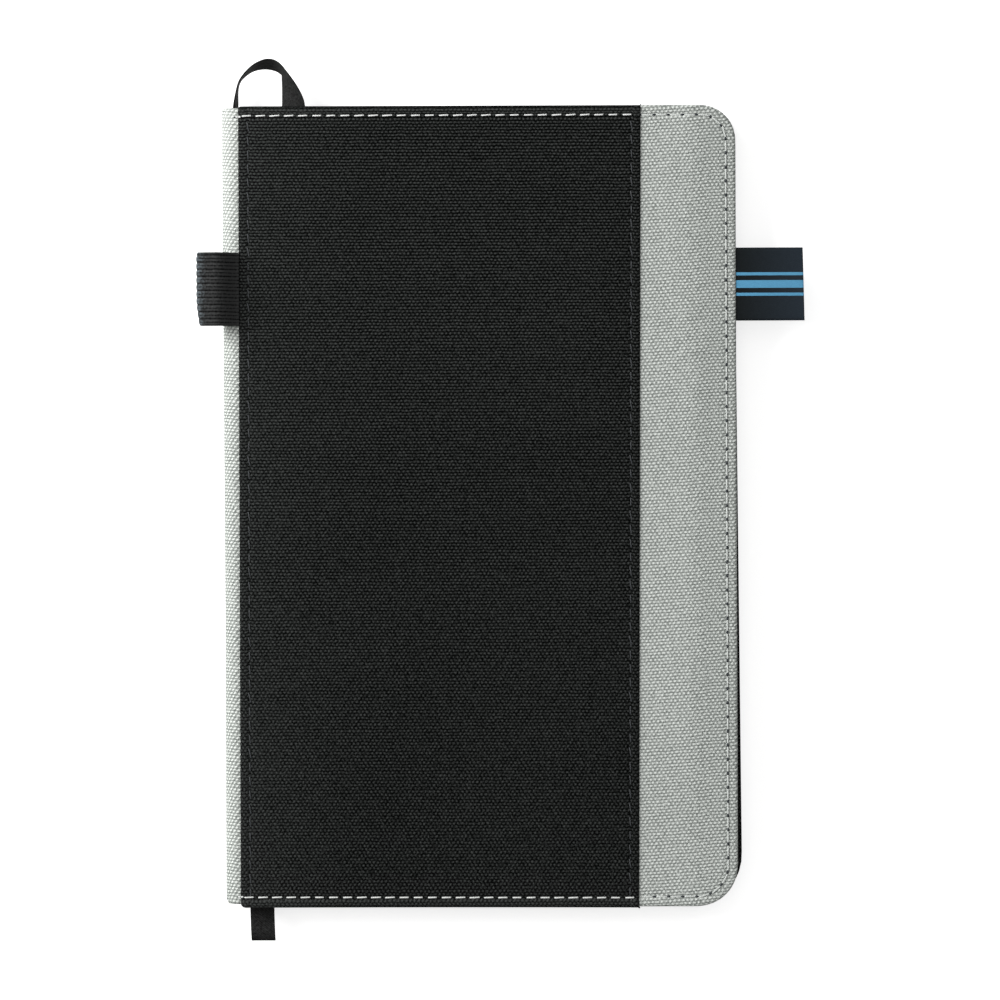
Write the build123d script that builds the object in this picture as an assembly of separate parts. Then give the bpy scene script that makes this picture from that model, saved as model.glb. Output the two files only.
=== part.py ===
from build123d import *
import os

# A soft-cover pocket notebook lying closed on its back cover, in millimetres.
# X runs from the spine to the fore-edge, Y towards the head, Z up through the front cover.
# The origin is the middle of the back cover's underside.

# ---------------------------------------------------------------- driving sizes
WIDTH = 138.0            # spine to fore-edge of the front cover
HEIGHT = 216.0           # tail to head
THICK = 15.0             # over both covers
CORNER = 9.6             # plan radius of the covers' head corners at the fore-edge
FRONT_FOOT_CORNER = 11.0  # the hand-turned foot corners are rounder
BACK_FOOT_CORNER = 13.5

CANVAS = 0.5             # covering canvas
UNDERLAY = 0.5           # thin padding under the black canvas
BOARD = 1.1              # stiffener inside each cover
COVER = CANVAS + UNDERLAY + BOARD + CANVAS
TURN_IN = 12.0           # canvas folded round onto the inside of the board
EDGE_ROUND = 0.9         # softened outer edge of a wrapped cover
PAPER = 0.15             # endpaper sheets
PASTE_INSET = 3.0        # endpaper inside the cover's edge

STRIP = 4.0              # grey canvas showing between the spine and the front panel
SPINE_ARC = 3.5          # outer radius where the spine turns into the strip
STIFFENER = 0.8
FOLD_GAP = 0.3           # clearance at the cut between two bodies of one canvas

BLACK_W = 108.0          # black front panel
CLEAR = 0.05             # air between sheets that slide on each other

PAGE_INSET = 3.0         # the covers' overhang past the pages
PAGE_CORNER = CORNER - 3.0
MULL = 0.3               # cloth lining glued to the back of the sections
RIBBON_GAP = 0.5         # space between the two halves of the text block
SECTIONS = 4             # in each half

OVERHANG_HEAD = -0.25    # back cover past the front cover's fore-edge
OVERHANG_FOOT = 1.5

LOOP_W = 20.0            # pen loop elastic width, along the spine
LOOP_T = 0.7
LOOP_REACH = 7.6         # past the spine
LOOP_TOP = 6.7           # above the front cover
LOOP_Y = 58.7            # middle of the loop

LABEL_W = 18.1           # woven label past the fore-edge
LABEL_H = 19.7
LABEL_T = 0.8
LABEL_Y = 59.65

RIBBON_W = 6.5
RIBBON_T = 0.3

# ---------------------------------------------------------------- derived places
xs = -WIDTH / 2
fore = WIDTH / 2
x_c = xs + STRIP
border = x_c + BLACK_W
ytop = HEIGHT / 2
z_mid = THICK / 2
xg = xs + 3.0                                  # folded backs of the sections
page_fore = fore - PAGE_INSET
page_top = ytop - PAGE_INSET
block_low = COVER + PAPER + CLEAR              # underside of the back flyleaf
sec_t = (z_mid - RIBBON_GAP / 2 - block_low - PAPER) / SECTIONS


def span(x0, x1, y0, y1, z0, z1):
    """A box given by its two corners."""
    return Pos((x0 + x1) / 2, (y0 + y1) / 2, (z0 + z1) / 2) * Box(x1 - x0, y1 - y0, z1 - z0)


def mirror_z(solid):
    """The same piece seen in the plane half-way between the covers."""
    return solid.mirror(Plane.XY.offset(z_mid))


def leaf(x0, x_head, x_foot, y1, radius, z0, z1, foot_radius=None):
    """A flat sheet with two rounded fore-edge corners; the fore-edge may slope from head to foot."""
    face = make_face(Polyline((x0, -y1), (x_foot, -y1), (x_head, y1), (x0, y1), close=True))
    if radius > 0:
        face = fillet(face.vertices().sort_by(Axis.X)[-2:].sort_by(Axis.Y)[-1], radius)
        face = fillet(face.vertices().sort_by(Axis.Y)[:2].sort_by(Axis.X)[-1], foot_radius or radius)
    return Pos(0, 0, z0) * extrude(face, z1 - z0)


# ---------------------------------------------------------------- covers
def cover_board(head, foot, foot_corner):
    """Board of a cover whose outer face is at z=0."""
    low = CANVAS + UNDERLAY
    return leaf(x_c + CANVAS, head - CANVAS, foot - CANVAS, ytop - CANVAS, CORNER - CANVAS, low, low + BOARD,
                foot_corner - CANVAS)


def cover_wrap(head, foot, foot_corner):
    """Canvas wrapped round the board, with a window inside the turn-ins."""
    shell = leaf(x_c, head, foot, ytop, CORNER, 0, COVER, foot_corner)
    outer = shell.faces().sort_by(Axis.Z)[0].edges()
    shell = fillet(outer, EDGE_ROUND)
    window = leaf(x_c + TURN_IN, head - TURN_IN, foot - TURN_IN, ytop - TURN_IN, 0,
                  COVER - CANVAS, COVER + 1)
    return shell - cover_board(head, foot, foot_corner) - window


def pastedown(head, foot, foot_corner):
    """Endpaper glued over the turn-ins and down onto the board inside them."""
    top = COVER + PAPER
    board_z = COVER - CANVAS
    rim = leaf(x_c + PASTE_INSET, head - PASTE_INSET, foot - PASTE_INSET, ytop - PASTE_INSET,
               CORNER - PASTE_INSET, COVER, top, foot_corner - PASTE_INSET)
    well = leaf(x_c + TURN_IN, head - TURN_IN, foot - TURN_IN, ytop - TURN_IN, 0, board_z, top)
    inner = TURN_IN + PAPER
    hollow = leaf(x_c + inner, head - inner, foot - inner, ytop - inner, 0, board_z + PAPER, top + 1)
    return rim + well - hollow


# ---------------------------------------------------------------- spine and joints
def canvas_arc():
    """Canvas turning from the spine face (x=xs) to the strip, for the lower corner."""
    z0 = UNDERLAY                               # the strip lies this much inside the black canvas
    cx, cz = xs + SPINE_ARC, z0 + SPINE_ARC
    ring = Pos(cx, 0, cz) * Rot(90, 0, 0) * (
        Cylinder(SPINE_ARC, HEIGHT) - Cylinder(SPINE_ARC - CANVAS, HEIGHT))
    return ring & span(xs - 1, cx, -ytop, ytop, z0 - 1, cz)


def diagonal_half(upper):
    """Everything on one side of the 45 degree cut through the lower corner's arc centre."""
    cx, cz = xs + SPINE_ARC, UNDERLAY + SPINE_ARC
    half = FOLD_GAP / 2
    big = 30.0
    sign = 1 if upper else -1
    block = Box(big, HEIGHT + 20, 2 * big)
    # the block's face is moved off the diagonal by half the gap
    return Pos(cx, 0, cz) * Rot(0, -45, 0) * Pos(-big / 2, 0, sign * (big + half)) * block


def lower_strip():
    """Strip of canvas on the lower cover side: from the diagonal cut to the panel's edge."""
    flat = span(xs + SPINE_ARC, x_c - CLEAR, -ytop, ytop, UNDERLAY, UNDERLAY + CANVAS)
    return (canvas_arc() & diagonal_half(False)) + flat


def spine_canvas():
    low = canvas_arc() & diagonal_half(True)
    wall = span(xs, xs + CANVAS, -ytop, ytop, UNDERLAY + SPINE_ARC, THICK - UNDERLAY - SPINE_ARC)
    return wall + low + mirror_z(low)


def spine_stiffener():
    z0 = UNDERLAY + SPINE_ARC
    return span(xs + CANVAS, xs + CANVAS + STIFFENER, -ytop + 1, ytop - 1, z0, THICK - z0)


def loop_profile():
    """Closed teardrop of elastic seen along the spine: outer face and inner hollow."""
    left = xs - LOOP_REACH
    corners = [(xs + 1.0, THICK + 0.1), (x_c - 0.1, THICK - UNDERLAY), (x_c - 0.1, THICK + 0.6),
               (xs - 0.9, THICK + LOOP_TOP), (left, THICK + LOOP_TOP), (left, THICK + 0.35)]
    outer = make_face(Polyline(*corners, close=True))
    inner = offset(outer, amount=-LOOP_T, kind=Kind.INTERSECTION)

    def soften(face, round_end, knee):
        pts = face.vertices()
        ends = pts.sort_by(Axis.X)[:2]
        face = fillet(ends, round_end)
        top = face.vertices().sort_by(Axis.Y)[-1]
        knees = [v for v in face.vertices() if abs(v.Y - top.Y) < 1e-4]
        return fillet(sorted(knees, key=lambda v: v.X)[-1], knee)

    return soften(outer, 3.1, 3.0), soften(inner, 3.1 - LOOP_T, 3.0 - LOOP_T)


def pen_loop():
    outer, inner = loop_profile()
    side = Plane.XZ                              # profile X,Y become the model's X,Z
    body = extrude(side * outer, LOOP_W / 2, both=True)
    hole = extrude(side * inner, LOOP_W, both=True)
    return Pos(0, LOOP_Y, 0) * (body - hole)


# ---------------------------------------------------------------- text block
def section(z0):
    """One folded section: round at the fold, with rounded fore-edge corners."""
    body = leaf(xg, page_fore, page_fore, page_top, PAGE_CORNER, z0, z0 + sec_t)
    fold = body.edges().filter_by(Axis.Y).sort_by(Axis.X)[:2]
    return fillet(fold, sec_t * 0.45)


def flyleaf():
    return leaf(xg + 0.5, page_fore, page_fore, page_top, PAGE_CORNER, block_low, block_low + PAPER)


def mull():
    """Cloth lining on the back of the lower half."""
    return span(xg - MULL, xg, -page_top + 6, page_top - 6, block_low + 0.2, z_mid - RIBBON_GAP / 2)


# ---------------------------------------------------------------- ribbon
RIBBON_TAIL_X = xs + 9.15                        # where it leaves the pages at the foot
RIBBON_HEAD_X = xs + 18.75                       # where it enters them at the head
RIBBON_END = (xs + 9.9, -ytop - 9.2)
# each station: outer edge x, y and inner edge x, y (x from the spine, y from the middle), middle z
RIBBON_STATIONS = [
    (2.55, 93.0, 2.55, 93.0, 4.42), (2.55, 100.0, 2.55, 100.0, 4.42),
    (2.37, 105.5, 3.00, 105.5, 4.5), (2.37, 108.0, 3.69, 108.0, 5.0), (2.95, 113.4, 3.45, 113.3, 6.0),
    (3.9, 116.0, 4.15, 115.4, 6.5), (6.0, 118.2, 5.6, 116.8, 7.0), (8.6, 120.15, 7.8, 118.1, 7.4),
    (12.1, 121.2, 11.0, 118.65, 7.7), (15.0, 120.2, 14.0, 118.1, 7.8), (17.5, 117.2, 15.55, 117.0, 7.8),
    (17.8, 116.9, 15.62, 116.8, 7.8), (20.0, 113.8, 15.75, 113.0, 7.7), (21.6, 110.5, 15.7, 110.1, 7.6),
    (21.95, 107.9, 15.65, 107.9, 7.5), (22.0, 106.9, 15.53, 106.9, 7.5), (22.02, 105.8, 15.5, 105.8, 7.5),
]


def ribbon_sections():
    """Rectangles across the ribbon, from its glued end round the head loop and down the pages."""
    places = []
    for xo, yo, xi, yi, z in RIBBON_STATIONS:
        flat = min(((xo - xi) ** 2 + (yo - yi) ** 2) ** 0.5, RIBBON_W)
        rise = (RIBBON_W ** 2 - flat ** 2) ** 0.5
        mid = Vector(xs + (xo + xi) / 2, (yo + yi) / 2, z)
        across = Vector(xo - xi, yo - yi, rise)
        places.append((mid, across))
    slope = (RIBBON_TAIL_X - RIBBON_HEAD_X) / 211.0
    for y in (60.0, 0.0, -60.0, -105.4):
        x = RIBBON_HEAD_X + slope * (105.6 - y)
        places.append((Vector(x, y, z_mid), Vector(RIBBON_W, RIBBON_W * slope, 0)))
    places.append((Vector(*RIBBON_END, z_mid), Vector(RIBBON_W, 0, 0)))
    return places


def ribbon():
    places = ribbon_sections()
    rings = []
    for i, (mid, across) in enumerate(places):
        before = places[max(i - 1, 0)][0]
        after = places[min(i + 1, len(places) - 1)][0]
        run = (after - before).normalized()
        side = (across - run * across.dot(run)).normalized()
        rings.append(Plane(mid, x_dir=side, z_dir=run) * Rectangle(RIBBON_W, RIBBON_T))
    return loft(rings, ruled=True)


def label():
    """Woven label, folded double and trapped at the fore-edge."""
    x0 = fore + 0.3
    piece = span(x0, fore + LABEL_W, LABEL_Y - LABEL_H / 2, LABEL_Y + LABEL_H / 2,
                 THICK - 1.5 - LABEL_T / 2, THICK - 1.5 + LABEL_T / 2)
    far = piece.edges().filter_by(Axis.Y).sort_by(Axis.X)[-2:]
    return fillet(far, LABEL_T * 0.45)


# ---------------------------------------------------------------- assembly
def build():
    parts = {}
    back_head, back_foot = fore + OVERHANG_HEAD, fore + OVERHANG_FOOT

    parts["back_board"] = cover_board(back_head, back_foot, BACK_FOOT_CORNER)
    parts["back_canvas"] = cover_wrap(back_head, back_foot, BACK_FOOT_CORNER)
    parts["back_pastedown"] = pastedown(back_head, back_foot, BACK_FOOT_CORNER)
    parts["back_spine_strip"] = lower_strip()
    parts["back_flyleaf"] = flyleaf()
    parts["spine_mull_back"] = mull()
    parts["ribbon_marker"] = ribbon()

    first = block_low + PAPER
    for i in range(SECTIONS):
        low = section(first + i * sec_t)
        parts["section_%d" % (2 * SECTIONS - i)] = low
        parts["section_%d" % (i + 1)] = mirror_z(low)
    parts["front_flyleaf"] = mirror_z(flyleaf())
    parts["spine_mull_front"] = mirror_z(mull())

    parts["spine_canvas"] = spine_canvas()
    parts["spine_stiffener"] = spine_stiffener()
    parts["front_spine_strip"] = mirror_z(lower_strip())
    parts["pen_loop"] = pen_loop()

    parts["front_board"] = mirror_z(cover_board(fore, fore, FRONT_FOOT_CORNER))
    wrap = mirror_z(cover_wrap(fore, fore, FRONT_FOOT_CORNER))
    black_side = span(xs, border, -ytop - 1, ytop + 1, 0, THICK + 1)
    grey_side = span(border, fore + 1, -ytop - 1, ytop + 1, 0, THICK - UNDERLAY)
    parts["front_black_panel"] = wrap & black_side
    grey = wrap & grey_side
    rim = grey.faces().sort_by(Axis.Z)[-1].edges()
    outer_rim = [e for e in rim if e.center().X > border + 0.5]
    parts["front_grey_panel"] = fillet(outer_rim, 0.25)
    parts["front_pastedown"] = mirror_z(pastedown(fore, fore, FRONT_FOOT_CORNER))
    parts["woven_label"] = label()
    return parts


def single(shape):
    """The one solid of a finished piece."""
    solids = shape.solids()
    return solids[0] if len(solids) == 1 else Compound(children=list(solids))


os.makedirs("parts", exist_ok=True)
for name, shape in build().items():
    solid = single(shape)
    print(name, len(shape.solids()), round(shape.volume, 2), shape.bounding_box().min, shape.bounding_box().max)
    export_step(solid, "parts/%s.step" % name)
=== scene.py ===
import math

import bmesh
import bpy
from mathutils import Matrix, Vector


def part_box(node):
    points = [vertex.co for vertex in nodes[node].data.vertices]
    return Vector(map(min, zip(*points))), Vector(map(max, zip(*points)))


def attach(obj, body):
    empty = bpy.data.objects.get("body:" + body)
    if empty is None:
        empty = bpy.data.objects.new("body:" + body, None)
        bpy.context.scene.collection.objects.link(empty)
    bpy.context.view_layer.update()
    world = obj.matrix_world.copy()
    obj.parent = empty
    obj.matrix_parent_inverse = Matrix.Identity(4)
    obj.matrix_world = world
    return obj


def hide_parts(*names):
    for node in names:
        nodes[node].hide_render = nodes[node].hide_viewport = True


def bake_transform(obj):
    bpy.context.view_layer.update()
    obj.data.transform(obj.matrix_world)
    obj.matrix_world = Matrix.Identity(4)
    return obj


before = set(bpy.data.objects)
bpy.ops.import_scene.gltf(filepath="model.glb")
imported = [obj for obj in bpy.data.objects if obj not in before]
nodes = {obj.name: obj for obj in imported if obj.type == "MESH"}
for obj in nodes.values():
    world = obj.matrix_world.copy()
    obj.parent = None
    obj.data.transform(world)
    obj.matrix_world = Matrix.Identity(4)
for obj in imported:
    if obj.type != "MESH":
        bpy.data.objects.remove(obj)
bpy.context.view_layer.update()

MM = 0.001

# ------------------------------------------------------------------ where the CAD pieces are, in mm


def corners(node):
    low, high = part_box(node)
    return low / MM, high / MM


black_lo, black_hi = corners("front_black_panel")
grey_hi = corners("front_grey_panel")[1]
spine_lo = corners("spine_canvas")[0]
loop_lo, loop_hi = corners("pen_loop")
label_lo, label_hi = corners("woven_label")
mull_lo, mull_hi = corners("spine_mull_back")
upper_page = corners("section_4")[0].z
lower_page = corners("section_5")[1].z

x_c = black_lo.x            # where the front panel meets the spine strip
border = black_hi.x         # where the black panel ends on the grey one
fore = grey_hi.x
spine_x = spine_lo.x
head = black_hi.y
top = black_hi.z
mid_z = top / 2
grey_top = grey_hi.z
cover_t = black_hi.z - black_lo.z
inside = top - cover_t + 0.02       # inner face of the front cover
arc_r = 3.5                 # turn of the spine canvas, outside
arc_z = grey_top - arc_r    # height of that turn's centre
head_corner, front_foot_corner, back_foot_corner = 9.6, 11.0, 13.5
turn_in = 12.0
stitch_in = 2.6             # topstitching inside the covers' edges
edge_y = head - stitch_in
foot_lift = 0.25            # the topstitching at the foot starts this much nearer the middle
seam_left = x_c + 2.6
seam_right = border - 2.4
ribs = 10.5                 # ribs across the elastic
rib_pitch = (loop_hi.y - loop_lo.y) / ribs

cover_cloth, turned_cloth, spine_wall = 0.4, 0.35, 0.45     # cloth thicknesses
cloth_top = top - 0.12      # black cloth between the hems
grey_cloth_top = grey_top - 0.06
rim_z = top - cover_t + 0.06
stitch_pitch, seam_pitch = 3.8, 3.75


# ------------------------------------------------------------------ materials
class Value:
    """A shader socket that takes part in ordinary sums."""

    def __init__(self, finish, socket):
        self.finish, self.socket = finish, socket

    def maths(self, operation, *others, **settings):
        return self.finish.node("ShaderNodeMath", dict(operation=operation, **settings), (self,) + others)

    def __add__(self, other):
        return self.maths("ADD", other)

    def __mul__(self, other):
        return self.maths("MULTIPLY", other)

    def __sub__(self, other):
        return self.maths("SUBTRACT", other)

    def __truediv__(self, other):
        return self.maths("DIVIDE", other)

    def __rsub__(self, other):
        return self * -1.0 + other

    def __pow__(self, other):
        return self.maths("POWER", other)

    __radd__, __rmul__ = __add__, __mul__

    def sin(self):
        return self.maths("SINE")

    def abs(self):
        return self.maths("ABSOLUTE")

    def most(self, other):
        return self.maths("MAXIMUM", other)

    def below(self, other):
        return self.maths("LESS_THAN", other)

    def above(self, other):
        return self.maths("GREATER_THAN", other)

    def clamped(self):
        return self.maths("ADD", 0.0, use_clamp=True)


class Finish:
    """One material and the nodes that make it."""

    def __init__(self, name):
        self.material = bpy.data.materials.new(name)
        self.material.use_nodes = True
        self.tree = self.material.node_tree
        self.tree.nodes.clear()

    def node(self, kind, settings=None, values=(), output=0):
        made = self.tree.nodes.new(kind)
        for key, setting in (settings or {}).items():
            setattr(made, key, setting)
        pairs = values.items() if isinstance(values, dict) else enumerate(values)
        for key, value in pairs:
            if isinstance(value, Value):
                self.tree.links.new(value.socket, made.inputs[key])
            else:
                made.inputs[key].default_value = value
        return Value(self, made.outputs[output]) if made.outputs else None

    def place(self):
        """Object coordinates in mm, as three values."""
        where = self.node("ShaderNodeTexCoord", output="Object")
        made = self.tree.nodes.new("ShaderNodeSeparateXYZ")
        self.tree.links.new(where.socket, made.inputs[0])
        return [Value(self, made.outputs[i]) * 1000.0 for i in range(3)], where

    def noise(self, where, scale, detail=2.0, rough=0.5):
        return self.node("ShaderNodeTexNoise", {"noise_dimensions": "3D"},
                         {"Vector": where, "Scale": scale, "Detail": detail, "Roughness": rough})

    def mix(self, factor, a, b):
        made = self.tree.nodes.new("ShaderNodeMix")
        made.data_type = "RGBA"
        for key, value in ((0, factor), (6, a), (7, b)):
            if isinstance(value, Value):
                self.tree.links.new(value.socket, made.inputs[key])
            else:
                made.inputs[key].default_value = value if key == 0 else (*value, 1.0)
        return Value(self, made.outputs[2])

    def bump(self, height, depth_mm):
        return self.node("ShaderNodeBump", None,
                         {"Strength": 1.0, "Distance": depth_mm * MM, "Height": height}, "Normal")

    def surface(self, colour, roughness, normal, **others):
        shader = self.node("ShaderNodeBsdfPrincipled", None,
                           {"Base Color": colour, "Roughness": roughness, "Normal": normal, **others})
        self.node("ShaderNodeOutputMaterial", None, {"Surface": shader})
        return self.material


def canvas(name, dark, light, *, gap, grain, blotch, sharp=2.6, contrast=1.0, rows=0.863, floats=1.12,
           rise=0.0, lean=0.0, twist=0.0, around=0.9, foot_shade=0.0, hem_highlight=0.0, sheen=0.0, painted_head_light=0.0, fore_edge_shade=0.0):
    """Coarse plain-woven canvas: short floats in rows, each row set off by half a float.

    rows and floats are pitches in mm; rise, lean and twist slant the rows, the floats' columns and the
    floats. The last five paint light and shade into the tone: painted shade that flattens the rows and
    darkens the tone towards the foot, a painted highlight on the hems, a painted lighter tone by the spine,
    painted light towards the head and painted shade along the fore-edge.
    """
    f = Finish(name)
    (x, y, z), where = f.place()
    wander = f.noise(where, 260.0, 1.0) - 0.5
    fine = f.noise(where, 2400.0, 2.0)
    row = (y - x * rise + z * around + wander * 0.35) / rows
    odd = (row * 0.5).maths("FRACT").above(0.5)
    across = ((x + y * lean + z * 0.9 + wander * 0.5) / floats + odd * 0.5
              + (row.maths("FRACT") - 0.5) * twist)
    float_ = (across * (2 * math.pi)).sin() * 0.5 + 0.5
    v = (row.maths("FRACT") - 0.5).abs() * 2.0
    # painted shade: the rows flatter and the tone darker towards the foot, for light falling from the head
    share = ((100.0 - y) / 200.0).clamped() * foot_shade
    ridge = (v ** sharp) * (share - 1.0) + 1.0
    weave = (ridge * (float_ * (1.0 - gap) + gap) + (fine - 0.5) * grain - share * 0.31).clamped()
    broad = f.noise(where, 22.0, 3.0)
    # painted highlight: the tone lighter along the head and foot hems, where their rounded edges catch the
    # light
    if hem_highlight:
        weave = weave + ((y.abs() - head + 3.0) / 0.8).clamped() * hem_highlight
    # painted light: the tone lighter towards the spine, fading out over 42 mm, for light falling from the
    # left
    if sheen:
        weave = weave + (((x_c + 42.0 - x) / 42.0).clamped() ** 2.0) * sheen
    # painted light: the tone lighter towards the head
    if painted_head_light:
        weave = weave + ((y - 30.0) / 70.0).clamped() * painted_head_light
    # painted shade: the tone darker near the fore-edge, fading out towards the foot
    if fore_edge_shade:
        away_from_foot = ((y + 105.0) / 45.0).clamped()
        weave = weave - ((x - fore + 14.0) / 7.0).clamped() * away_from_foot * fore_edge_shade
    tone = (weave + (broad - 0.5) * blotch).clamped() ** contrast
    colour = f.mix(tone, dark, light)
    normal = f.bump(weave + (broad - 0.5) * 1.5, 0.2)
    return f.surface(colour, 0.9, normal, **{"Specular IOR Level": 0.015})


# black canvas: painted shade towards the foot, a painted highlight on the hems, a painted lighter tone by the
# spine
black_canvas = canvas("black_canvas", (0.0004, 0.0006, 0.0005), (0.0545, 0.0580, 0.0560), gap=0.50, grain=1.5,
                      blotch=0.10, sharp=1.6, contrast=2.0, lean=-0.026, foot_shade=0.5, hem_highlight=0.15, sheen=0.13)
# grey canvas: painted shade along the fore-edge
grey_canvas = canvas("grey_canvas", (0.165, 0.181, 0.169), (0.700, 0.730, 0.695), gap=0.36, grain=1.4,
                     blotch=0.14, rows=0.869, floats=1.169, rise=0.066, lean=0.015, fore_edge_shade=0.09)
# spine canvas: painted light towards the head
spine_canvas = canvas("spine_canvas_cloth", (0.168, 0.184, 0.172), (0.765, 0.797, 0.757), gap=0.25,
                      grain=1.33, blotch=0.14, floats=1.40, rise=-0.096, lean=0.046, twist=-0.45, around=0.0,
                      painted_head_light=0.13)


def elastic():
    """Ribbed elastic: cords side by side, with painted shade darkening the grooves between them."""
    f = Finish("ribbed_elastic")
    (x, y, z), where = f.place()
    fine = f.noise(where, 1800.0, 2.0)
    rib = ((y - loop_lo.y) * (math.pi / rib_pitch)).sin().abs() ** 0.8
    cords = ((y - loop_lo.y) * (math.pi * 2 / rib_pitch)).sin().abs() ** 0.5
    threads = ((y * (2 * math.pi / 0.31)).sin() * 0.5 + 0.5)
    # painted light: the elastic lighter over its last 5.5 mm before the front panel
    lit_by_panel = ((x - x_c + 5.5) / 5.5).clamped() * 0.95 + 0.92
    # painted shade: the tone dark in the grooves between the cords
    tone = ((rib * 0.12 + cords * 1.15 + threads * 0.12 + (fine - 0.5) * 1.5 - 0.42) * lit_by_panel).clamped()
    # painted highlight: a light bluish tone on the rib tops over the loop's left bend, on its upper part only
    bend_highlight = ((loop_lo.x + 2.6 - x) / 2.4 + (fine - 0.5) * 3.0).clamped() * rib * cords
    bend_highlight = bend_highlight * ((z - loop_hi.z + 3.2) / 2.0).clamped()
    colour = f.mix(tone, (0.0008, 0.0008, 0.0010), (0.050, 0.051, 0.051))
    colour = f.mix(bend_highlight, colour, (0.105, 0.127, 0.141))
    normal = f.bump(rib * 0.7 + cords * 0.6 + fine * 0.4, 0.16)
    return f.surface(colour, 0.75, normal, **{"Specular IOR Level": 0.06})


def satin():
    """Satin ribbon with fine threads along it."""
    f = Finish("satin_ribbon")
    (x, y, z), where = f.place()
    fine = f.noise(where, 1800.0, 2.0)
    threads = (((x * 0.8 + y + z * 0.8) * (2 * math.pi / 0.62)).sin() * 0.5 + 0.5)
    colour = f.mix(((fine - 0.5) * 1.8 + threads * 0.35 + 0.3).clamped(), (0.005, 0.005, 0.005),
                   (0.0320, 0.0325, 0.0320))
    normal = f.bump(threads * 0.6 + fine * 0.4, 0.02)
    return f.surface(colour, 0.75, normal, **{"Specular IOR Level": 0.06})


def label_weave():
    """Navy damask with plain blue stripes across its middle."""
    f = Finish("label_weave")
    (x, y, _), where = f.place()
    centre = (label_lo.y + label_hi.y) / 2
    away = (y - centre).abs()
    wide = away.below(1.05)
    thin = (away - 2.75).abs().below(0.42)
    stripe = wide.most(thin)
    twill = (((x + y * 0.6) * (2 * math.pi / 0.32)).sin() * 0.5 + 0.5)
    fine = f.noise(where, 2200.0, 2.0)
    tone = (twill * 0.6 + fine * 0.4).clamped()
    # painted shade and sheen: the navy ground darker at the end by the cover, lighter and bluer towards the
    # fold
    along = ((x - label_lo.x) / 18.0).clamped()
    ground_shade_and_sheen = f.mix(along, f.mix(tone, (0.0040, 0.0048, 0.0050), (0.0160, 0.0190, 0.0200)),
                   f.mix(tone, (0.0100, 0.0140, 0.0190), (0.0340, 0.0450, 0.0580)))
    blue = f.mix(tone, (0.068, 0.215, 0.37), (0.130, 0.39, 0.60))
    colour = f.mix(stripe, ground_shade_and_sheen, blue)
    normal = f.bump(tone + stripe * 0.6, 0.05)
    return f.surface(colour, 0.8, normal, **{"Specular IOR Level": 0.02})


def paper(name, ruled_at=None):
    """Writing paper; the cut edges show single leaves, and an open face shows ruled lines."""
    f = Finish(name)
    (_, y, z), where = f.place()
    fibre = f.noise(where, 900.0, 3.0)
    layers = f.node("ShaderNodeTexNoise", {"noise_dimensions": "1D"},
                    {"W": z * 6.5, "Scale": 1.0, "Detail": 2.0})
    tone = ((layers - 0.5) * 2.6 + (fibre - 0.5) * 0.6 + 0.5).clamped()
    colour = f.mix(tone, (0.38, 0.365, 0.325), (0.70, 0.68, 0.63))
    if ruled_at is not None:
        line_pitch, margin = 7.1, 18.0
        face = (z - ruled_at).abs().below(0.03)
        line = ((y * (1 / line_pitch)).maths("FRACT") - 0.5).abs().below(0.02)
        ruled = (y.abs().below(head - margin)) * face
        plain = f.mix(fibre, (0.63, 0.615, 0.57), (0.69, 0.675, 0.63))
        colour = f.mix(face, colour, plain)
        colour = f.mix(line * ruled, colour, (0.40, 0.445, 0.475))
    return f.surface(colour, 0.8, f.bump(layers, 0.05), **{"Specular IOR Level": 0.2})


def board():
    """Grey-brown pulp board."""
    f = Finish("cover_board")
    _, where = f.place()
    colour = f.mix(f.noise(where, 700.0, 4.0), (0.26, 0.22, 0.17), (0.42, 0.37, 0.30))
    return f.surface(colour, 0.9, f.bump(f.noise(where, 1500.0, 2.0), 0.05))


def thread(name, dark, light):
    """Plied sewing thread."""
    f = Finish(name)
    (x, y, _), where = f.place()
    ply = (((x + y * 0.5) * (2 * math.pi / 0.5)).sin() * 0.5 + 0.5)
    tone = (ply * 0.6 + f.noise(where, 2500.0, 1.0) * 0.4).clamped()
    return f.surface(f.mix(tone, dark, light), 0.6, f.bump(ply, 0.04))


def lining():
    """Open cloth glued over the sewn backs of the sections."""
    f = Finish("lining_cloth")
    (_, y, z), _ = f.place()
    per_mm = 2 * math.pi / 0.9
    mesh = ((y * per_mm).sin() * (z * per_mm).sin()) * 0.5 + 0.5
    return f.surface(f.mix(mesh, (0.48, 0.46, 0.41), (0.72, 0.70, 0.64)), 0.9, f.bump(mesh, 0.08))


elastic_webbing = elastic()
satin_ribbon = satin()
label_cloth = label_weave()
page_paper = paper("page_paper")
open_page_back = paper("open_page_back", lower_page)
open_page_front = paper("open_page_front", upper_page)
endpaper = paper("endpaper")
cover_board = board()
white_thread = thread("white_thread", (0.50, 0.51, 0.50), (0.88, 0.89, 0.87))
pale_thread = thread("pale_thread", (0.40, 0.42, 0.40), (0.76, 0.79, 0.76))
dark_thread = thread("dark_thread", (0.002, 0.002, 0.002), (0.050, 0.056, 0.062))
# painted shade: near-black for the inside of the needle holes
hole_shade = thread("hole_shade", (0.006, 0.009, 0.012), (0.030, 0.038, 0.045))
lining_cloth = lining()


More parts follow.
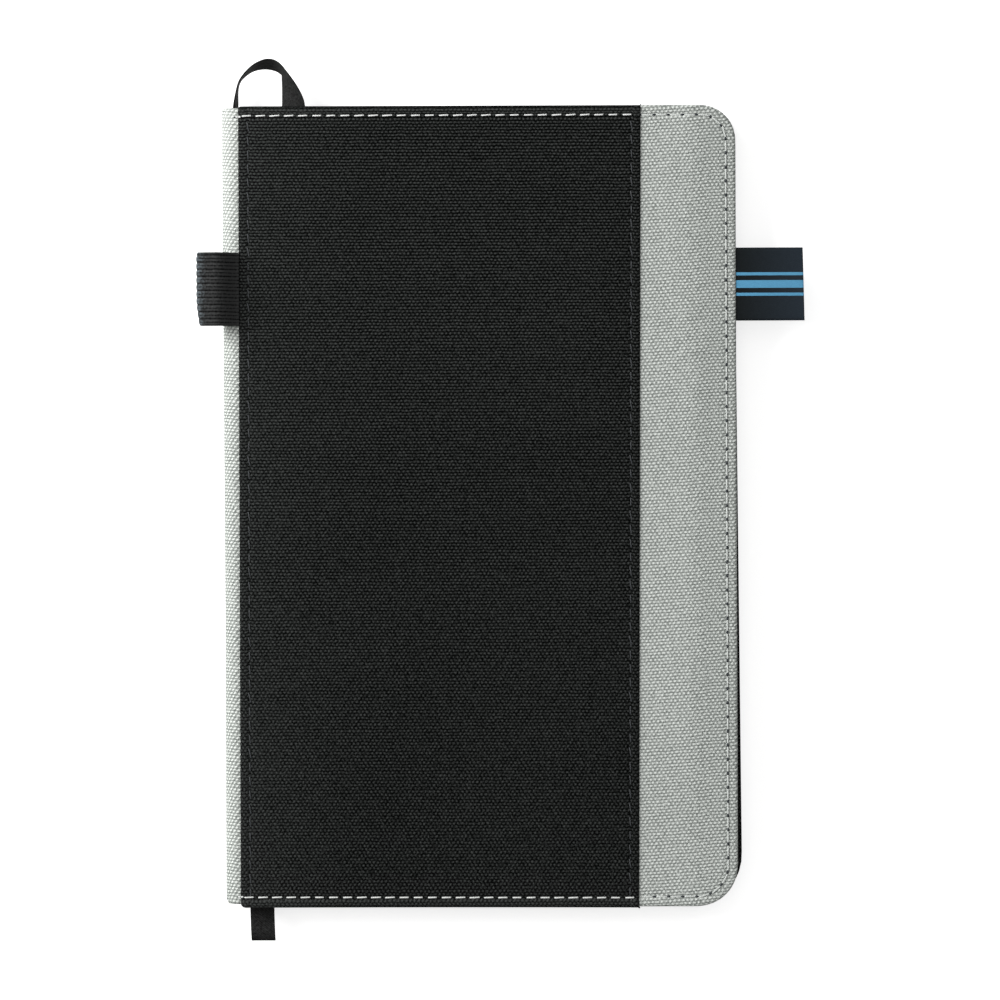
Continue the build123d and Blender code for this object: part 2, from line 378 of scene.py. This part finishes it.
# ------------------------------------------------------------------ mesh helpers
def finished(name, bm, material, body=None, thickness=0.0, offset=-1.0, smooth=True):
    """Turn a bmesh in mm into a piece of the scene."""
    bmesh.ops.scale(bm, vec=(MM, MM, MM), verts=bm.verts)
    mesh = bpy.data.meshes.new(name)
    for face in bm.faces:
        face.smooth = smooth
    bm.to_mesh(mesh)
    bm.free()
    made = bpy.data.objects.new(name, mesh)
    bpy.context.scene.collection.objects.link(made)
    made.data.materials.append(material)
    if thickness:
        wall = made.modifiers.new("wall", "SOLIDIFY")
        wall.thickness = thickness * MM
        wall.offset = offset
        wall.use_even_offset = False
    if body:
        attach(made, body)
    return made


def woven_grid(us, vs, shape):
    """A grid with one vertex at shape(u, v) for each u in us and v in vs."""
    bm = bmesh.new()
    bmesh.ops.create_grid(bm, x_segments=len(us) - 1, y_segments=len(vs) - 1, size=1.0)
    for vert in bm.verts:
        i = round((vert.co.x + 1) / 2 * (len(us) - 1))
        j = round((vert.co.y + 1) / 2 * (len(vs) - 1))
        vert.co = shape(us[i], vs[j])
    return bm


EDGE_STEPS = (0, 0.08, 0.25, 0.5, 0.9, 1.4, 1.8, 2.15, 2.4, 2.6, 2.8, 3.05, 3.4, 4.1, 5.2, 6.5, 8.5)


def steps(a, b, pitch=3.0):
    """Places from a to b, close together near both ends where the seams are."""
    left = [a + s for s in EDGE_STEPS]
    right = [b - s for s in reversed(EDGE_STEPS)]
    count = max(1, round((right[0] - left[-1]) / pitch))
    middle = [left[-1] + (right[0] - left[-1]) * i / count for i in range(1, count)]
    return left + middle + right


def rounded(d, radius):
    """Drop of a rounded edge at distance d inside it."""
    if d >= radius:
        return 0.0
    d = max(d, 0.0)
    return radius - math.sqrt(max(radius ** 2 - (radius - d) ** 2, 0.0))


def dent(d, at, depth, width=0.5):
    return depth * math.exp(-((d - at) / width) ** 2)


def swell(d, width, height):
    return height * math.sin(math.pi * d / width) if 0 < d < width else 0.0


def round_corner(x, y, x1, y1, foot_radius):
    """Bend the square corner of a grid at the fore-edge into an arc; also gives the edge distance."""
    radius = head_corner if y > 0 else foot_radius
    cx, cy = x1 - radius, y1 - radius
    dx, dy = x - cx, abs(y) - cy
    if dx <= 0 or dy <= 0:
        return x, y, min(x1 - x, y1 - abs(y))
    longest = max(dx, dy)
    reach = math.hypot(dx, dy)
    dx, dy = dx * longest / reach, dy * longest / reach
    return cx + dx, math.copysign(cy + dy, y), radius - math.hypot(dx, dy)


def tuck(x, y, x0, at_head=0.7, at_foot=1.3):
    """Round off a cover's small corners at the spine."""
    radius = at_head if y > 0 else at_foot
    dx, dy = radius - (x - x0), radius - (head - abs(y))
    if dx > 0 and dy > 0:
        inwards = max(dx, dy) / math.hypot(dx, dy)
        x, y = x0 + radius - dx * inwards, math.copysign(head - radius + dy * inwards, y)
    return x, y


def turn_outwards(bm, side):
    """Make the faces look outwards, judged by the one furthest out in x on the given side."""
    bmesh.ops.recalc_face_normals(bm, faces=bm.faces)
    outermost = max(bm.faces, key=lambda f: side * f.calc_center_median().x)
    if side * outermost.normal.x < 0:
        bmesh.ops.reverse_faces(bm, faces=bm.faces)


def add_rim(bm, height, keep_open=None):
    """Run the grid's edges down or up to the given height, which may depend on the place."""
    rim = [e for e in bm.edges if e.is_boundary and not (keep_open and keep_open(e))]
    made = bmesh.ops.extrude_edge_only(bm, edges=rim)["geom"]
    for vert in (g for g in made if isinstance(g, bmesh.types.BMVert)):
        vert.co.z = height(vert.co)


# ------------------------------------------------------------------ front cover
def border_at(y):
    """The black panel's edge on the grey cloth, which is sewn slightly askew."""
    return border - 0.145 + 0.0052 * y


def black_panel():
    def shape(x, y):
        d_end = head - abs(y)
        d_left, d_right = x - x_c, border - x
        z = cloth_top
        z += swell(d_end, 2.5, 0.16) - dent(d_end, stitch_in, 0.26) - rounded(d_end, 0.9)
        z += swell(d_left, 2.6, 0.12) - dent(d_left, 2.6, 0.16, 0.4) - rounded(d_left, 0.3)
        z += swell(d_right, 2.4, 0.14) - dent(d_right, 2.4, 0.18, 0.4) - rounded(d_right, 0.4)
        z += 0.10 * math.exp(-((d_end - 4.2) / 1.4) ** 2)
        x, y = tuck(x, y, x_c)
        across = (x - x_c) / (border - x_c)
        x += across * (border_at(y) - border)
        y -= 0.3 * across ** 2 * max(0.0, -y / head) ** 8
        return Vector((x, y, z))

    bm = woven_grid(steps(x_c, border), steps(-head, head), shape)
    add_rim(bm, lambda at: grey_top - 0.4 if at.x > border_at(at.y) - 0.01 else rim_z)
    return finished("black_panel_cloth", bm, black_canvas, "front_cover", cover_cloth)


def grey_panel():
    left = border - 3.0

    def shape(x, y):
        x, y, d = round_corner(x, y, fore, head, front_foot_corner)
        z = grey_cloth_top
        z += swell(d, 2.6, 0.06) - dent(d, stitch_in + 0.05, 0.16) - rounded(d, 0.6)
        z += 0.04 * math.exp(-((d - 4.4) / 1.5) ** 2)
        dip = max(0.0, min(1.0, (12.5 - (fore - x)) / 6.5))
        z -= 0.24 * dip * dip * (3 - 2 * dip)
        return Vector((x, y, z))

    bm = woven_grid(steps(left, fore, 2.0), steps(-head, head), shape)
    add_rim(bm, lambda at: rim_z, keep_open=lambda e: all(v.co.x < left + 0.01 for v in e.verts))
    return finished("grey_panel_cloth", bm, grey_canvas, "front_cover", cover_cloth)


def turn_ins(name, x0, x1, z, material, body, corner, facing, slope=None, spine_hem=True):
    """Canvas folded onto the inside of a board, as a frame round the endpaper."""
    def shape(x, y):
        if corner:
            x, y, d = round_corner(x, y, x1, head, corner)
        if slope:
            x = x0 + (x - x0) * (slope(y) - x0) / (x1 - x0)
        if x0 < border:
            x, y = tuck(x, y, x0)
        return Vector((x, y, z))

    us = [x0, x0 + 2, x0 + 6, x0 + turn_in, x1 - turn_in, x1 - 6, x1 - 4, x1 - 2, x1 - 1, x1]
    vs = [-head, -head + 1, -head + 2, -head + 4, -head + 6, -head + turn_in]
    vs += [-v for v in reversed(vs)]
    if not corner:
        us = [x0, x0 + 2, x0 + turn_in, (x0 + x1) / 2, x1]
    bm = woven_grid(us, vs, shape)
    inner = [f for f in bm.faces if abs(f.calc_center_median().y) < head - turn_in
             and (f.calc_center_median().x > x0 + turn_in or not spine_hem)
             and (f.calc_center_median().x < x1 - turn_in or not corner)]
    bmesh.ops.delete(bm, geom=inner, context="FACES")
    if facing < 0:
        bmesh.ops.reverse_faces(bm, faces=bm.faces)
    return finished(name, bm, material, body, turned_cloth, smooth=False)


# ------------------------------------------------------------------ back cover
def back_fore(y):
    """The back cover's fore-edge, which runs further out towards the foot."""
    share = (head - y) / (2 * head)
    return fore - 0.25 + share * 1.75


def back_wrap():
    far = back_fore(0.0)

    def shape(x, y):
        x, y, d = round_corner(x, y, far, head, back_foot_corner)
        d = min(d, x - x_c)
        z = 0.06 - swell(d, 2.6, 0.05) + rounded(d, 0.9) + dent(d, stitch_in, 0.12)
        x = x_c + (x - x_c) * (back_fore(y) - x_c) / (far - x_c)
        return Vector((*tuck(x, y, x_c), max(z, 0.0)))

    bm = woven_grid(steps(x_c, far), steps(-head, head), shape)
    add_rim(bm, lambda at: cover_t - 0.06)
    bmesh.ops.reverse_faces(bm, faces=bm.faces)
    return finished("back_cover_cloth", bm, black_canvas, "back_cover", cover_cloth)


# ------------------------------------------------------------------ spine canvas
tongue = 1.2                # how far the strip runs in under the front panel


def spine_section():
    """Points of the spine canvas from the front panel round to the middle of the spine."""
    steps_in_arc = 10
    points = [(x_c + tongue, grey_top - 0.25), (x_c, grey_cloth_top), (spine_x + arc_r, grey_top)]
    for i in range(1, steps_in_arc + 1):
        a = math.pi / 2 * i / steps_in_arc
        points.append((spine_x + arc_r - arc_r * math.sin(a), arc_z + arc_r * math.cos(a)))
    for i in range(1, 5):
        points.append((spine_x, arc_z + (mid_z - arc_z) * i / 4))
    return points


def spine_cloth(name, upper):
    points = spine_section()
    if upper:
        points += [(spine_x + 0.04, mid_z - 0.05), (spine_x + 0.04, mid_z - 0.6)]
    else:
        points = [(x, top - z) for x, z in points]
    foot_end, head_end = -head + 1.0, head - 0.5
    vs = [foot_end, foot_end + 0.2, foot_end + 0.6, foot_end + 1.4]
    vs += [foot_end + 1.4 + (head_end - foot_end - 2.8) * i / 40 for i in range(1, 40)]
    vs += [head_end - 1.4, head_end - 0.6, head_end - 0.2, head_end]

    def shape(k, y):
        x, z = points[k]
        end = min(head_end - y, y - foot_end)
        out = max(0.0, min(1.0, (x_c + tongue - x) / (x_c + tongue - spine_x)))
        pull = max(rounded(end, 0.6) * 0.6, rounded(y - foot_end, 1.8) * 0.8 * out * out)
        way = Vector((spine_x + arc_r - x, 0, (arc_z if upper else top - arc_z) - z))
        if way.length > 0.01:
            way.normalize()
        x -= 0.5 * out * max(0.0, min(1.0, (y + 30.0) / 125.0))     # leans out towards the head
        return Vector((x, y, z)) + way * pull

    bm = woven_grid(list(range(len(points))), vs, shape)
    turn_outwards(bm, -1)
    return finished(name, bm, spine_canvas, None, spine_wall)


# ------------------------------------------------------------------ pen loop
def smooth_line(points, resolution=8):
    """Points along a NURBS line through the control points, in mm."""
    curve = bpy.data.curves.new("guide", "CURVE")
    curve.dimensions = "3D"
    curve.resolution_u = resolution
    spline = curve.splines.new("NURBS")
    spline.points.add(len(points) - 1)
    for target, point in zip(spline.points, points):
        target.co = (*point, 1.0)
    spline.order_u = 3
    spline.use_endpoint_u = True
    guide = bpy.data.objects.new("guide", curve)
    mesh = bpy.data.meshes.new_from_object(guide)
    line = [v.co.copy() for v in mesh.vertices]
    bpy.data.objects.remove(guide)
    bpy.data.curves.remove(curve)
    bpy.data.meshes.remove(mesh)
    return line


def pen_loop():
    """Flat elastic closed on itself, with ribs running round it."""
    left, right, z0, z1 = loop_lo.x + 0.33, loop_hi.x + 0.04, top, loop_hi.z - 0.1
    outline = [(right, 0, z0 - 0.3), (spine_x + 1.0, 0, z0 + 0.45), (left + 3.0, 0, z0 + 0.5),
               (left, 0, z0 + 0.6), (left, 0, z0 + 3.4), (left, 0, z1),
               (left + 3.2, 0, z1), (spine_x - 1.6, 0, z1 + 0.1), (spine_x + 0.45, 0, z1 - 1.4),
               (x_c - 1.9, 0, z0 + 2.4), (x_c - 0.95, 0, z0 + 1.0), (x_c - 0.45, 0, z0 + 0.4),
               (right - 0.05, 0, z0 - 0.05)]
    line = smooth_line(outline, resolution=6)
    count = len(line)
    per_rib, rib_height = 6, 0.2
    width = loop_hi.y - loop_lo.y
    rows = int(ribs * per_rib)

    def shape(k, j):
        here = line[k]
        ahead = line[min(k + 1, count - 1)] - line[max(k - 1, 0)]
        outward = Vector((-ahead.z, 0, ahead.x)).normalized()
        rib = abs(math.sin(math.pi * j / per_rib)) ** 0.7 * rib_height
        point = here + outward * (rib - rib_height)
        share = j / rows
        out = max(0.0, (spine_x - point.x) / (spine_x - left))
        lean = 0.85 * max(0.0, 1 - share / 0.38) ** 1.6 + 0.35 * max(0.0, 1 - (1 - share) / 0.06) ** 1.5
        return Vector((point.x + out * lean, loop_lo.y + 0.1 + (width - 0.3) * share, point.z))

    bm = woven_grid(list(range(count)), list(range(rows + 1)), shape)
    turn_outwards(bm, -1)
    return finished("pen_loop_elastic", bm, elastic_webbing, "front_joint", 0.55)


# ------------------------------------------------------------------ label
def label():
    z = (label_lo.z + label_hi.z) / 2
    x0, x1 = label_lo.x - 0.9, label_hi.x
    gap, fold = 0.22, label_hi.x - 0.5
    bulge = [math.sin(math.pi * i / 12) for i in range(13)]
    section = [(x0 + (fold - x0) * i / 12, z + gap + 0.10 * bulge[i]) for i in range(13)]
    for i in range(1, 7):
        a = math.pi * i / 7
        section.append((fold + 0.45 * math.sin(a), z + gap * math.cos(a)))
    section += [(x0 + (fold - x0) * (12 - i) / 12, z - gap - 0.05 * bulge[i]) for i in range(13)]
    rows = 20

    def shape(k, j):
        x, zz = section[k]
        y = label_lo.y + (label_hi.y - label_lo.y) * j / rows
        bow = 0.12 * math.sin(math.pi * j / rows) * (x - x0) / (x1 - x0)
        x += 0.45 * (1 - j / rows) * (x - x0) / (x1 - x0)
        return Vector((x, y, zz + bow))

    bm = woven_grid(list(range(len(section))), list(range(rows + 1)), shape)
    turn_outwards(bm, 1)
    return finished("label_tab", bm, label_cloth, "label", 0.2)


# ------------------------------------------------------------------ ribbon marker
RIBBON_W, RIBBON_T = 6.5, 0.3
RIBBON_GOES_IN, RIBBON_COMES_OUT = 18.75, 9.15      # from the spine, at the head and at the foot
# outer edge x, y and inner edge x, y (x from the spine, y from the middle), middle z
RIBBON_STATIONS = [
    (2.55, 93.0, 2.55, 93.0, 4.42), (2.55, 100.0, 2.55, 100.0, 4.42),
    (2.37, 105.5, 3.00, 105.5, 4.5), (2.42, 108.0, 3.66, 108.0, 5.0), (3.46, 113.3, 3.54, 113.3, 6.0),
    (4.28, 115.54, 4.36, 115.43, 6.5), (6.12, 117.87, 5.80, 116.77, 7.0), (8.65, 120.0, 7.8, 118.1, 7.4),
    (12.1, 121.2, 11.0, 118.65, 7.7), (15.0, 120.1, 14.0, 118.1, 7.8), (17.35, 116.95, 15.55, 117.0, 7.8),
    (17.65, 116.65, 15.62, 116.8, 7.8), (19.8, 113.6, 15.75, 113.0, 7.7), (21.5, 110.4, 15.7, 110.1, 7.6),
    (21.95, 107.9, 15.65, 107.9, 7.5), (22.0, 106.9, 15.53, 106.9, 7.5), (22.02, 105.8, 15.5, 105.8, 7.5),
]


def ribbon_edges():
    """The ribbon's two long edges as control points, and its middle."""
    one, two = [], []
    for xo, yo, xi, yi, z in RIBBON_STATIONS:
        flat = min(math.hypot(xo - xi, yo - yi), RIBBON_W)
        rise = math.sqrt(RIBBON_W ** 2 - flat ** 2)
        one.append((spine_x + xo, yo, z + rise / 2))
        two.append((spine_x + xi, yi, z - rise / 2))
    start, end = spine_x + RIBBON_GOES_IN, spine_x + RIBBON_COMES_OUT
    in_pages = [(start + (end - start) * (105.6 - y) / 211.0, y) for y in (60.0, 0.0, -60.0, -105.4)]
    for x, y in in_pages + [(spine_x + 9.9, -head - 9.2)]:
        one.append((x + RIBBON_W / 2, y, mid_z))
        two.append((x - RIBBON_W / 2, y, mid_z))
    middle = [tuple((a + b) / 2 for a, b in zip(p, q)) for p, q in zip(one, two)]
    return one, two, middle


def ribbon():
    one, two, middle = ribbon_edges()
    edge_a, edge_b, centre = smooth_line(one), smooth_line(two), smooth_line(middle)
    across = [0.0, 0.04, 0.12, 0.3, 0.5, 0.7, 0.88, 0.96, 1.0]

    def shape(s, k):
        return edge_a[k].lerp(edge_b[k], s)

    bm = woven_grid(across, list(range(len(edge_a))), shape)
    bmesh.ops.recalc_face_normals(bm, faces=bm.faces)
    piece = finished("ribbon_cloth", bm, satin_ribbon, "back_cover", RIBBON_T, 0.0)
    [tuple(p * MM) for p in centre]
    return piece


# ------------------------------------------------------------------ gutter lining
def gutter():
    x0, x1 = mull_lo.x, mull_hi.x
    z0, z1 = mull_lo.z, top - mull_lo.z
    zs = [z0 + (z1 - z0) * i / 24 for i in range(25)]
    ys = [mull_lo.y, mull_hi.y]
    bm = woven_grid(zs, ys, lambda z, y: Vector((x1 - 0.02, y, z)))
    if bm.faces and next(iter(bm.faces)).normal.x > 0:
        bmesh.ops.reverse_faces(bm, faces=bm.faces)
    return finished("gutter_lining", bm, lining_cloth, None, 0.25, 1.0)


# ------------------------------------------------------------------ stitching
def along(path, first, pitch):
    """Distances, places and directions at equal steps along a path of points."""
    run, want = 0.0, first
    for a, b in zip(path, path[1:]):
        way = b - a
        reach = way.length
        while want <= run + reach:
            yield want, a + way * ((want - run) / reach), way
            want += pitch
        run += reach


def stitch_row(name, path, material, body, *, length, width, height=0.3, pitch=stitch_pitch, slant=0.0,
               start=0.4):
    """Thread stitches laid along a line, not quite alike in length and slant."""
    bm = bmesh.new()
    for want, at, way in along(path, start + length / 2, pitch):
        uneven = math.sin(want * 12.9898) * 0.5 + math.sin(want * 4.137) * 0.5
        turn = Matrix.Rotation(math.atan2(way.y, way.x) + slant * (1 + uneven), 4, "Z")
        size = Matrix.Diagonal((length * (1 + 0.14 * uneven), width, height, 1.0))
        bmesh.ops.create_cube(bm, size=1.0, matrix=Matrix.Translation(at) @ turn @ size)
    bmesh.ops.bevel(bm, geom=list(bm.edges), offset=height * 0.36, affect="EDGES", segments=2, profile=0.5,
                    material=-1)
    return finished(name, bm, material, body)


def hole_shade_dots(name, path, body, radius, start=0.0):
    """Small dark dots of painted shade where the thread goes through the cloth."""
    bm = bmesh.new()
    for _, at, way in along(path, start, stitch_pitch):
        turn = Matrix.Rotation(math.atan2(way.y, way.x), 4, "Z")
        size = Matrix.Diagonal((radius * 1.5, radius * 0.75, radius * 0.4, 1.0))
        matrix = Matrix.Translation(at) @ turn @ size
        bmesh.ops.create_icosphere(bm, subdivisions=1, radius=1.0, matrix=matrix)
    return finished(name, bm, hole_shade, body)


def line_points(*points):
    return [Vector(p) for p in points]


def grey_stitch_path(z):
    """Round the grey panel, from the border at the head to the border at the foot."""
    inset = stitch_in + 0.05
    x1, y1 = fore - inset, head - inset

    def half(r):
        path = [Vector((border + 0.3, y1, z)), Vector((x1 - r, y1, z))]
        for i in range(1, 9):
            a = math.pi / 2 * i / 8
            path.append(Vector((x1 - r + r * math.sin(a), y1 - r + r * math.cos(a), z)))
        return path

    lower = [Vector((p.x, -p.y, z)) for p in reversed(half(front_foot_corner - inset))]
    return half(head_corner - inset) + lower


# ------------------------------------------------------------------ put it together
black = black_panel()
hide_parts("front_black_panel")
grey = grey_panel()
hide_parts("front_grey_panel")
black_in = turn_ins("black_turn_in", x_c + 0.1, border, inside, black_canvas, "front_cover", 0, -1)
grey_in = turn_ins("grey_turn_in", border, fore - 0.1, inside, grey_canvas, "front_cover",
                   front_foot_corner, -1, spine_hem=False)

back = back_wrap()
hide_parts("back_canvas")
back_in = turn_ins("back_turn_in", x_c + 0.1, back_fore(0.0) - 0.1, cover_t - 0.02, black_canvas,
                   "back_cover", back_foot_corner, 1, lambda y: back_fore(y) - 0.1)

upper = spine_cloth("spine_cloth_front", True)
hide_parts("spine_canvas", "front_spine_strip")
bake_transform(upper)
lower = spine_cloth("spine_cloth_back", False)
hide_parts("back_spine_strip")
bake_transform(lower)

loop = pen_loop()
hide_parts("pen_loop")
tab = label()
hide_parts("woven_label")
marker = ribbon()
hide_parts("ribbon_marker")
mull = gutter()
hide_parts("spine_mull_back", "spine_mull_front")
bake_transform(mull)

stitch_z = cloth_top - 0.10
seam_z = top - 0.16
strip_z = grey_top + 0.08
topstitch = dict(length=2.5, width=0.40, start=0.95)
seam_stitch = dict(length=2.4, width=0.36, pitch=seam_pitch, slant=0.12)
cut_stitch = dict(length=0.66, width=0.48)      # the two halves of the stitch across the strip's edge
askew_head, askew_foot = border_at(head) - border, border_at(-head) - border
stitching = [
    stitch_row("topstitch_head", line_points((x_c, edge_y, stitch_z), (border - 0.6, edge_y, stitch_z)),
               white_thread, "front_cover", slant=0.05, **topstitch),
    stitch_row("topstitch_foot", line_points((x_c, -edge_y + foot_lift, stitch_z),
                                             (border - 0.9, -edge_y - 0.2, stitch_z)),
               white_thread, "front_cover", slant=0.03, **topstitch),
    stitch_row("topstitch_grey", grey_stitch_path(grey_cloth_top - 0.16), pale_thread, "front_cover",
               length=3.1, width=0.42, height=0.26),
    stitch_row("seam_stitch_left", line_points((seam_left, head - 4, seam_z), (seam_left, 4 - head, seam_z)),
               dark_thread, "front_cover", **seam_stitch),
    stitch_row("seam_stitch_right", line_points((seam_right + askew_head, head - 4, seam_z),
                                                (seam_right + askew_foot, 4 - head, seam_z)),
               dark_thread, "front_cover", **seam_stitch),
]
for end, y in (("head", edge_y - 0.25), ("foot", -edge_y + foot_lift + 0.1)):
    stitching.append(stitch_row("strip_topstitch_" + end,
                                line_points((x_c - 0.7, y, strip_z), (x_c, y, strip_z)),
                                white_thread, "front_joint", start=0.0, **cut_stitch))
    stitching.append(stitch_row("first_topstitch_" + end,
                                line_points((x_c, y, stitch_z + 0.05), (x_c + 0.8, y, stitch_z + 0.05)),
                                white_thread, "front_cover", height=0.40, start=0.04, **cut_stitch))
# dark dots of painted shade at the needle holes round the grey panel and on the spine strip
holes = hole_shade_dots("hole_shade_dots", grey_stitch_path(grey_cloth_top - 0.10), "front_cover", 0.42,
                     start=-0.02)
dot = hole_shade_dots("strip_hole_shade", line_points((x_c - 0.98, edge_y - 0.4, grey_top - 0.02),
                                                    (x_c, edge_y - 0.4, grey_top)), "front_joint", 0.27)

dress = {
    "front_board": cover_board, "back_board": cover_board, "spine_stiffener": lining_cloth,
    "front_pastedown": endpaper, "back_pastedown": endpaper,
    "front_flyleaf": endpaper, "back_flyleaf": endpaper,
    "section_5": open_page_back, "section_4": open_page_front,
}
for name in nodes:
    if name.startswith("section_") and name not in dress:
        dress[name] = page_paper
for name, material in dress.items():
    node = nodes[name]
    node.data.materials.clear()
    node.data.materials.append(material)


# ------------------------------------------------------------------ floor, lights and camera
floor_glow, room_light, key_power, fill_power = 0.68, 0.33, 16.5, 4.0


def floor():
    bm = bmesh.new()
    bmesh.ops.create_grid(bm, x_segments=1, y_segments=1, size=2500.0)
    made = finished("floor", bm, floor_material())


def floor_material():
    f = Finish("studio_floor")
    path = f.tree.nodes.new("ShaderNodeLightPath")
    seen = Value(f, path.outputs["Is Camera Ray"]).most(Value(f, path.outputs["Is Glossy Ray"])).most(
        Value(f, path.outputs["Is Transmission Ray"]))
    matt = f.node("ShaderNodeBsdfDiffuse", None, {"Color": (0.8, 0.8, 0.8, 1.0)})
    glow = f.node("ShaderNodeEmission", None, {"Color": (1, 1, 1, 1), "Strength": seen * floor_glow})
    both = f.node("ShaderNodeAddShader", None, [matt, glow])
    f.node("ShaderNodeOutputMaterial", None, {"Surface": both})
    return f.material


def area_light(name, place, target, power, size, size_y):
    lamp = bpy.data.lights.new(name, "AREA")
    lamp.energy = power
    lamp.shape = "RECTANGLE"
    lamp.size, lamp.size_y = size, size_y
    made = bpy.data.objects.new(name, lamp)
    bpy.context.scene.collection.objects.link(made)
    made.location = place
    made.rotation_euler = (Vector(target) - Vector(place)).to_track_quat("-Z", "Y").to_euler()


def studio():
    scene = bpy.context.scene
    scene.view_settings.view_transform = "Standard"
    world = bpy.data.worlds.new("studio")
    scene.world = world
    world.use_nodes = True
    background = world.node_tree.nodes["Background"].inputs
    background["Color"].default_value = (1, 1, 1, 1)
    background["Strength"].default_value = room_light
    area_light("key_left", (-0.85, 0.38, 0.60), (0, 0, 0), key_power, 0.6, 0.8)
    area_light("fill_top", (0.2, 0.3, 1.6), (0, 0, 0), fill_power, 1.2, 1.2)
    camera = bpy.data.cameras.new("camera")
    distance, view_width, sensor = 2.2, 269.39655 * MM, 36.0
    camera.sensor_width = sensor
    camera.lens = sensor * distance / view_width
    made = bpy.data.objects.new("camera", camera)
    scene.collection.objects.link(made)
    made.location = (5.2 * MM, 1.67 * MM, top * MM + distance)
    made.rotation_euler = (0, 0, math.radians(-0.20))
    scene.camera = made


floor()
studio()
